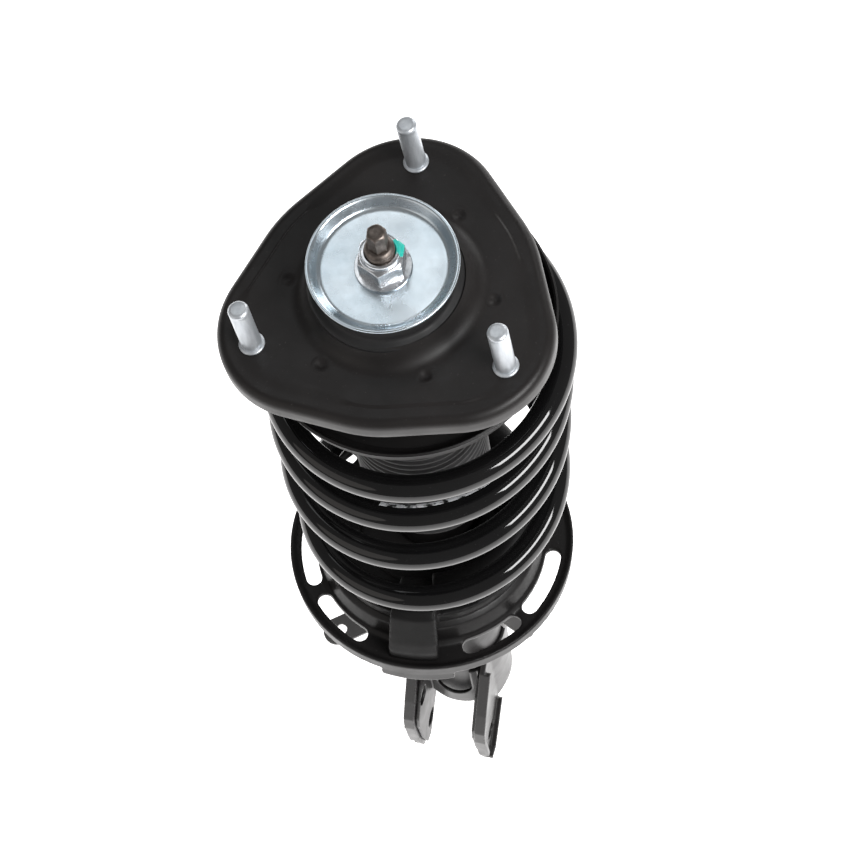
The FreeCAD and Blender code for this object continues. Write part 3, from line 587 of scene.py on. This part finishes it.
# ---- studs ------------------------------------------------------------------------------------
def stud_mesh():
    """Threaded stud with a pressed collar at its foot, a domed tip and a head under the plate."""
    low = PLATE_STEP_H + STUD_COLLAR_H
    head = -PLATE_T - STUD_HEAD_H
    collar = STUD_COLLAR_R - 0.3
    profile = eased([(0, head), (STUD_HEAD_R, head), (STUD_HEAD_R, -PLATE_T), (STUD_SHANK_R, -PLATE_T),
                     (STUD_SHANK_R, PLATE_STEP_H), (collar, PLATE_STEP_H), (collar, low - 0.5),
                     (STUD_R + 0.3, low), (STUD_R, low)], 0.5, False)
    step = STUD_PITCH / 8
    count = int((STUD_LENGTH - STUD_TIP - low - 0.4) / step)
    profile += [(STUD_R, low + 0.4 + step * k) for k in range(count)]
    profile += eased([(STUD_R, STUD_LENGTH - 1.7), (STUD_R - 0.35, STUD_LENGTH - 0.9),
                      (STUD_R - 1.4, STUD_LENGTH - 0.15), (1.8, STUD_LENGTH), (0, STUD_LENGTH)], 0.6, False)
    groove = thread(STUD_R, 0.16, STUD_PITCH, low + 3.0, STUD_LENGTH - 1.8, 2.5)
    return lathe(profile, 48, False, groove)


studs = []
for k in range(LOBES):
    points, faces = stud_mesh()
    x, y = polar(STUD_PCD_R, STUD_PHASE + 120 * k)
    points = [(px + x, py + y, pz) for px, py, pz in points]
    studs.append((tilted(points, PLATE_TILT_X, PLATE_TILT_Y, (*PLATE_CENTRE, 0)), faces))
studs_piece = new_piece("tower_studs", *merged(studs), sharp=50.0)
stand_in(studs_piece, "mount", "mount_studs", "zinc_plate", zinc_stud)

# ---- dished washer ----------------------------------------------------------------------------
low = WASHER_FLOOR_Z - WASHER_T
dish = [(THREAD_R + FIT, low), (WASHER_FLOOR_R, low), (WASHER_FLOOR_R + 2.6, low + 1.1),
        (WASHER_RIM_R, WASHER_RIM_Z - 1.8), (WASHER_RIM_R, WASHER_RIM_Z),
        (WASHER_RIM_R - 1.7, WASHER_RIM_Z), (WASHER_FLOOR_R + 1.0, WASHER_FLOOR_Z + 0.6),
        (WASHER_FLOOR_R - 0.6, WASHER_FLOOR_Z), (THREAD_R + FIT, WASHER_FLOOR_Z)]
washer = new_piece("dished_washer", *lathe(eased(dish, 1.2, True, 6), 160))
stand_in(washer, "mount", "rebound_washer", "zinc_plate", zinc)


# ---- flange nut -------------------------------------------------------------------------------
def nut_mesh():
    """Flange, chamfered hexagon, locking collar and threaded bore as one turned surface."""
    hexagon = hexagonal(NUT_AF - 0.2, HEX_PHASE)
    corner = NUT_AF / math.sqrt(3)
    base = WASHER_FLOOR_Z
    rows = [("round", THREAD_R + FIT, base), ("round", NUT_FLANGE_R - 0.4, base),
            ("round", NUT_FLANGE_R, base + 0.4), ("round", NUT_FLANGE_R, base + 1.1),
            ("round", NUT_FLANGE_R - 0.25, base + 1.45)]
    rows += [("hex", NUT_FLANGE_R - 0.9 - 1.2 * s / 6, base + 1.65 + 1.5 * s / 6) for s in range(7)]
    rows += [("hex", corner, base + 3.3 + (NUT_TOP_Z - 1.9 - base - 3.3) * s / 6) for s in range(7)]
    rows += [("hex", corner - 1.9 * (s / 8) ** 1.4, NUT_TOP_Z - 1.9 + 1.8 * s / 8) for s in range(1, 9)]
    rows += [("round", NUT_AF / 2 - 0.55, NUT_TOP_Z), ("round", NUT_COLLAR_R + 0.3, NUT_TOP_Z),
             ("round", NUT_COLLAR_R, NUT_TOP_Z + 0.3), ("round", NUT_COLLAR_R, NUT_COLLAR_Z - 0.7),
             ("round", NUT_COLLAR_R - 0.3, NUT_COLLAR_Z - 0.2), ("round", NUT_COLLAR_R - 0.9, NUT_COLLAR_Z),
             ("round", THREAD_R + 0.7, NUT_COLLAR_Z), ("round", THREAD_R + FIT, NUT_COLLAR_Z - 0.7)]
    kinds = {(r, z): kind for kind, r, z in rows}

    def shape(r, z, angle):
        if kinds[(r, z)] == "round":
            return r
        flat = hexagon(angle)
        soft = 0.5
        if abs(r - flat) > soft:
            return min(r, flat)
        return min(r, flat) - (soft - abs(r - flat)) ** 2 / (4 * soft)
    return lathe([(r, z) for kind, r, z in rows], 240, True, shape)


nut = new_piece("flange_nut", *nut_mesh(), sharp=40.0)
stand_in(nut, "mount", "rod_nut", "zinc_plate", marked_zinc)


# ---- piston rod -------------------------------------------------------------------------------
def rod_mesh():
    """Ground rod with a threaded end and a hexagon key at its tip."""
    hexagon = hexagonal(HEX_KEY_AF, HEX_PHASE)
    profile = eased([(0, ROD_END_Z), (5, ROD_END_Z), (6, ROD_END_Z + 1), (6, ROD_STEP_Z), (ROD_R, ROD_STEP_Z),
                     (ROD_R, ROD_SHOULDER_Z - 1), (ROD_R - 1, ROD_SHOULDER_Z), (THREAD_R, ROD_SHOULDER_Z)],
                    0.3, False)
    step = ROD_PITCH / 8
    count = int((HEX_KEY_Z - 1.6 - ROD_THREAD_Z) / step)
    profile += [(THREAD_R, ROD_THREAD_Z + step * k) for k in range(count)]
    profile += [(THREAD_R, HEX_KEY_Z - 1.5), (THREAD_R - 0.8, HEX_KEY_Z - 0.6), (THREAD_R - 1.6, HEX_KEY_Z)]
    corner = HEX_KEY_AF / math.sqrt(3)
    key = [(corner, HEX_KEY_Z + 0.05), (corner, HEX_KEY_Z + 6), (corner, ROD_TIP_Z - 1.3)]
    key += [(corner - 1.3 * (s / 5) ** 1.3, ROD_TIP_Z - 1.3 + 1.3 * s / 5) for s in range(1, 6)]
    profile += key + [(1.2, ROD_TIP_Z), (0, ROD_TIP_Z)]
    groove = thread(THREAD_R, 0.55, ROD_PITCH, ROD_THREAD_Z + 1, HEX_KEY_Z - 1.6, 1.5)

    def shape(r, z, angle):
        return min(r, hexagon(angle)) if z > HEX_KEY_Z else groove(r, z, angle)
    return lathe(profile, 120, False, shape)


rod_piece = new_piece("piston_rod_ground", *rod_mesh(), sharp=40.0)
stand_in(rod_piece, "mount", "piston_rod", "hard_chrome", chrome, key_steel)
for face in rod_piece.data.polygons:
    face.material_index = 1 if face.center.z > ROD_THREAD_Z * MM else 0


# ---- coil spring ------------------------------------------------------------------------------
def height_at(turn):
    last = len(COIL_HEIGHTS) - 1
    k = min(int(turn), last - 1)
    t = turn - k
    h = COIL_HEIGHTS
    rise_in = (h[k + 1] - h[k - 1]) / 2 if k > 0 else 4.0
    rise_out = (h[k + 2] - h[k]) / 2 if k + 2 <= last else WIRE_R * 2 + 2
    return (h[k] * (2 * t ** 3 - 3 * t ** 2 + 1) + rise_in * (t ** 3 - 2 * t ** 2 + t)
            + h[k + 1] * (3 * t ** 2 - 2 * t ** 3) + rise_out * (t ** 3 - t ** 2))


def wire_point(turn):
    """Centre of the wire after so many turns from its lower end."""
    share = turn / COIL_END_TURN
    ease = max(0.0, 1 - turn)
    radius = COIL_R_BOTTOM + (COIL_R_TOP - COIL_R_BOTTOM) * share - PIGTAIL_R * ease ** 2 * (3 - 2 * ease)
    dx, dy = polar(radius, COIL_START + 360 * turn)
    lean = max(0.0, 1 - turn / 1.5)
    tilt = (math.tan(math.radians(PAN_TILT_X)) * (dy + COIL_R_BOTTOM)
            - math.tan(math.radians(PAN_TILT_Y)) * dx)
    x = COIL_FOOT[0] + (COIL_HEAD[0] - COIL_FOOT[0]) * share + dx
    y = COIL_FOOT[1] + (COIL_HEAD[1] - COIL_FOOT[1]) * share + dy
    return np.array([x, y, height_at(turn) + lean * tilt])


def share_of_stroke(turn):
    """How far the wire follows the strut at a turn: each gap closes in proportion to its size."""
    stations = np.linspace(SLEEVE_TURNS, PAD_FROM_TURN, 200)
    rise = [(height_at(t + 0.01) - height_at(t - 0.01)) / 0.02 for t in stations]
    slack = [max(0.0, r - 2 * WIRE_R - 0.2) for r in rise]
    total = np.concatenate([[0], np.cumsum(slack)])
    total /= total[-1]
    return 1 - np.interp(turn, np.append(stations, COIL_END_TURN), total)


def wire_rows(radius, first, last, per_turn, around, chamfer):
    """Rings of a round wire along its line, with chamfered ends."""
    count = int((last - first) * per_turn)
    turns = [first + (last - first) * k / count for k in range(count + 1)]
    line = [wire_point(t) for t in turns]
    rows = []
    for k in range(count + 1):
        ahead = line[min(k + 1, count)] - line[max(k - 1, 0)]
        ahead /= np.linalg.norm(ahead)
        side = np.cross(ahead, [0, 0, 1.0])
        side /= np.linalg.norm(side)
        up = np.cross(side, ahead)
        sizes = [(radius, 0.0)]
        if k == 0:
            sizes = [(0.0, 0.0), (radius - chamfer, 0.0), (radius - chamfer * 0.3, chamfer * 0.3),
                     (radius, chamfer)]
        if k == count:
            sizes = [(radius, -chamfer), (radius - chamfer * 0.3, -chamfer * 0.3),
                     (radius - chamfer, 0.0), (0.0, 0.0)]
        for size, shift in sizes:
            rows.append([tuple(line[k] + ahead * shift + size * (math.cos(a) * side + math.sin(a) * up))
                         for a in np.linspace(0, 2 * math.pi, around, endpoint=False)])
    return rows


def nearest_turn(points):
    """Turn of the wire that each point lies on."""
    turns = np.linspace(0, COIL_END_TURN, 2400)
    tree = KDTree(len(turns))
    for k, turn in enumerate(turns):
        tree.insert(wire_point(turn), k)
    tree.balance()
    return [float(turns[tree.find(p)[1]]) for p in points]


def wire_weights(piece):
    """Share of the stroke for each point of a piece that lies on the wire."""
    travel = np.linspace(0, COIL_END_TURN, 400)
    on_turn = nearest_turn(np.array([v.co for v in piece.data.vertices]) / MM)
    return np.interp(on_turn, travel, share_of_stroke(travel))


rows = wire_rows(WIRE_R, 0.0, COIL_END_TURN, 120, 40, 1.0)
spring = new_piece("coil_spring_wound", *grid(rows), sharp=60.0)
spring.data.materials.append(spring_paint)
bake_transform(spring)
wire_weights(spring)
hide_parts("coil_spring")


# ---- painted reflection on the wire -----------------------------------------------------------
def band_mesh(first, last, low, high):
    """Thin skin on the wire between two turns and two angles round its section."""
    rows = []
    for turn in np.linspace(first, last, 60):
        here = wire_point(turn)
        ahead = wire_point(turn + 0.002) - wire_point(turn - 0.002)
        ahead /= np.linalg.norm(ahead)
        side = np.cross(ahead, [0, 0, 1.0])
        side /= np.linalg.norm(side)
        up = np.cross(side, ahead)
        angles = np.radians(np.linspace(low, high, 10))
        outer = [tuple(here + (WIRE_R + BAND_T) * (math.cos(a) * side + math.sin(a) * up)) for a in angles]
        inner = [tuple(here + (WIRE_R - 0.3) * (math.cos(a) * side + math.sin(a) * up)) for a in angles[::-1]]
        rows.append(outer + inner)
    return grid(rows)


# painted reflection: a light silver band on the upper side of one turn of the wire, broken by noise into
# short pieces that show the black wire between them
painted_reflection = rubber_like("painted_reflection_band", (0.70, 0.72, 0.75), (0.85, 0.86, 0.88), 0.3, 0.45, 0.02, 0.5)
reflection_gaps = painted_reflection.ramp(painted_reflection.noise(170.0, 5.0), [(0.44, (1.0,)), (0.50, (0.0,))])
painted_reflection.colour(painted_reflection.mixed(reflection_gaps, painted_reflection.base_colour(), (0.006, 0.006, 0.006)))
band = new_piece("painted_reflection_strip", *band_mesh(*BAND_TURNS, *BAND_ANGLES), sharp=60.0)
band.data.materials.append(painted_reflection.material)
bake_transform(band)
wire_weights(band)

# ---- coil sleeve ------------------------------------------------------------------------------
rows = wire_rows(SLEEVE_R, -SLEEVE_END, SLEEVE_TURNS, 120, 48, 1.2)
inner_rows = wire_rows(WIRE_R + 0.3, -SLEEVE_END, SLEEVE_TURNS, 120, 48, 0.0)
sleeve = new_piece("coil_sleeve_moulded", *grid(rows[1:-1] + inner_rows[1:-1][::-1], True, True), sharp=60.0)
stand_in(sleeve, "strut_body", "coil_sleeve", "rubber", pad_rubber)


# ---- dust boot --------------------------------------------------------------------------------
def boot_profile():
    """Cuff, rounded pleats and lower cuff, outside then back up the inside."""
    top, low = BOOT_TOP_Z, BOOT_LOW_Z
    pitch = (top - 12 - TUBE_TOP_Z) / BOOT_PLEATS
    outer = [(BOOT_CUFF_R, top), (BOOT_CUFF_R, top - BOOT_CUFF_H), (33.0, top - 10)]
    steps = 8
    for k in range(BOOT_PLEATS * steps):
        wave = 0.5 - 0.5 * math.cos(2 * math.pi * k / steps)
        reach = BOOT_ROOT_R + (BOOT_RIDGE_R - BOOT_ROOT_R) * wave ** 0.8
        outer.append((reach, top - 10.2 - pitch * k / steps))
    inner = [(r - BOOT_WALL, z) for r, z in reversed(outer[3:])]
    cuff = [(TUBE_R + 4, low + 7), (TUBE_R + 4, low), (TUBE_R + 2.3, low), (TUBE_R + 2.3, low + 6)]
    return outer + cuff + inner + [(BOOT_CUFF_R - 2, top - BOOT_CUFF_H), (BOOT_CUFF_R - 2, top)]


boot = new_piece("dust_boot_pleated", *lathe(boot_profile(), 120), sharp=60.0)
boot.data.materials.append(boot_rubber)
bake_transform(boot)
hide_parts("dust_boot")

# ---- stage, lights and camera -----------------------------------------------------------------
floor_mesh = bpy.data.meshes.new("studio_floor")
half = 6.0
drop = cad_low.z - 0.002
corners = [(x * half, y * half, drop) for x, y in ((-1, -1), (1, -1), (1, 1), (-1, 1))]
floor_mesh.from_pydata(corners, [], [(0, 1, 2, 3)])
floor = bpy.data.objects.new("studio_floor", floor_mesh)
bpy.context.scene.collection.objects.link(floor)
floor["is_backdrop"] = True
white = bpy.data.materials.new("studio_white")
white.use_nodes = True
white_shader = white.node_tree.nodes["Principled BSDF"]
white_shader.inputs["Base Color"].default_value = (0.93, 0.93, 0.93, 1)
white_shader.inputs["Roughness"].default_value = 0.9
white_shader.inputs["Emission Color"].default_value = (1, 0.985, 0.98, 1)
white_shader.inputs["Emission Strength"].default_value = 1.5
floor.data.materials.append(white)

world = bpy.data.worlds.new("studio")
bpy.context.scene.world = world
world.use_nodes = True
seen = world.node_tree.nodes["Background"]
seen.inputs["Color"].default_value = (1, 1, 1, 1)
seen.inputs["Strength"].default_value = 1.0
lit = world.node_tree.nodes.new("ShaderNodeBackground")
lit.inputs["Color"].default_value = (1, 0.985, 0.975, 1)
lit.inputs["Strength"].default_value = 0.22
either = world.node_tree.nodes.new("ShaderNodeMixShader")
path = world.node_tree.nodes.new("ShaderNodeLightPath")
world.node_tree.links.new(path.outputs["Is Camera Ray"], either.inputs["Fac"])
world.node_tree.links.new(lit.outputs["Background"], either.inputs[1])
world.node_tree.links.new(seen.outputs["Background"], either.inputs[2])
world.node_tree.links.new(either.outputs["Shader"], world.node_tree.nodes["World Output"].inputs["Surface"])


def soft_light(name, at, target, size, power, tint=(1, 1, 1)):
    """Area light in metres and watts: round when it is large, a strip when it is small."""
    light = bpy.data.lights.new(name, "AREA")
    light.shape = "ELLIPSE" if size[1] > 0.8 else "RECTANGLE"
    light.size, light.size_y = size
    light.energy = power
    light.color = tint
    lamp = bpy.data.objects.new(name, light)
    lamp.location = at
    lamp.rotation_euler = (Vector(target) - Vector(at)).to_track_quat("-Z", "Y").to_euler()
    bpy.context.scene.collection.objects.link(lamp)


soft_light("key_back", (-0.25, 1.05, 1.9), (0, 0, 0), (1.3, 0.75), 3.6, (0.95, 0.98, 1.0))
soft_light("front_right", (0.92, -0.92, 1.2), (0, 0, -0.15), (1.0, 0.55), 32)
soft_light("side_left", (-1.5, -0.6, 0.7), (0, 0, -0.15), (1.5, 1.3), 3, (1.0, 0.94, 0.89))
soft_light("rear_right", (1.1, 1.3, 0.5), (0, 0, -0.1), (0.5, 1.2), 5)

bpy.context.scene.view_settings.view_transform = "Standard"


def photo_camera():
    """Camera at the viewing angle of the photograph: steeply from above the front."""
    elevation = math.radians(CAMERA_ELEVATION)
    place = CAMERA_DISTANCE * np.array([0, -math.cos(elevation), math.sin(elevation)])
    ahead = -place / np.linalg.norm(place)
    right = np.cross(ahead, [0, 0, 1])
    right /= np.linalg.norm(right)
    base = np.array([right, -np.cross(right, ahead), ahead])

    def about(axis, degrees):
        return np.array(Matrix.Rotation(math.radians(degrees), 3, axis))
    turn = about("Z", CAMERA_ROLL) @ about("X", CAMERA_TILT) @ about("Y", CAMERA_PAN) @ base
    matrix = np.eye(4)
    matrix[:3, 0] = turn[0]
    matrix[:3, 1] = -turn[1]
    matrix[:3, 2] = -turn[2]
    matrix[:3, 3] = place
    data = bpy.data.cameras.new("photo_camera")
    data.lens = CAMERA_LENS
    data.sensor_width = 36
    camera = bpy.data.objects.new("photo_camera", data)
    camera.matrix_world = Matrix(matrix.tolist())
    bpy.context.scene.collection.objects.link(camera)
    return camera


bpy.context.scene.camera = photo_camera()

low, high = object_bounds()
